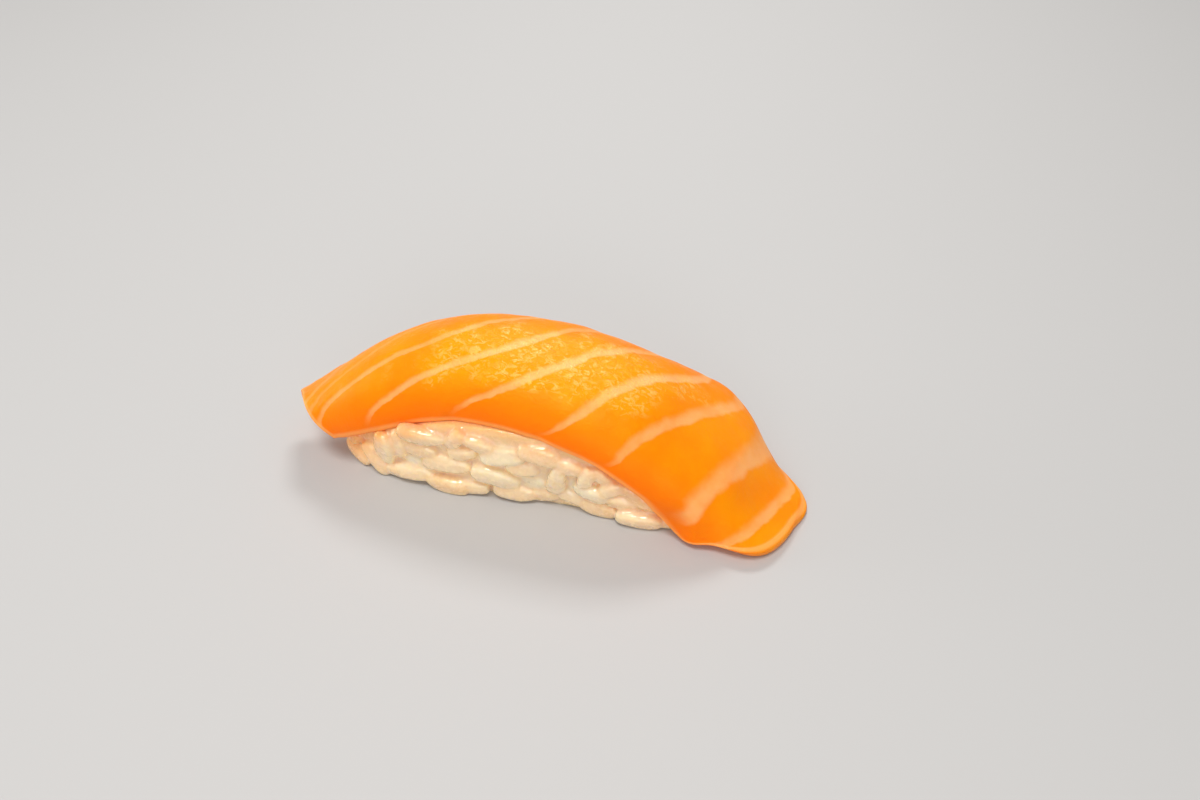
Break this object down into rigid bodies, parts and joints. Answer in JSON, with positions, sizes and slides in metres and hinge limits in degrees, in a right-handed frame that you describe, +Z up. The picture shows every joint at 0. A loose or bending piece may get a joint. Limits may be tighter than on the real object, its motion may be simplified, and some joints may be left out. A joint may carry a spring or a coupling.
{
  "type": "salmon nigiri",
  "caption": "Nigiri sushi: an arched slice of raw salmon draped over a hand-pressed oblong block of cooked rice, with its right end lying on the surface.",
  "frame": {"origin": "middle of the footprint's bounding box, on the surface the rice stands on", "axes": "+X along the length, towards the end of the slice that lies on the surface; -Y the front, the side seen in the picture; +Z up"},
  "size_m": [0.0764, 0.0246, 0.0207],
  "materials": {
    "salmon": "raw salmon: wet and glossy, translucent orange flesh with paler fat lines",
    "rice": "cooked short-grain rice: translucent warm white grains with a soft sheen"
  },
  "bodies": {
    "root": {"salmon": "salmon", "rice": "rice"}
  },
  "joints": []
}
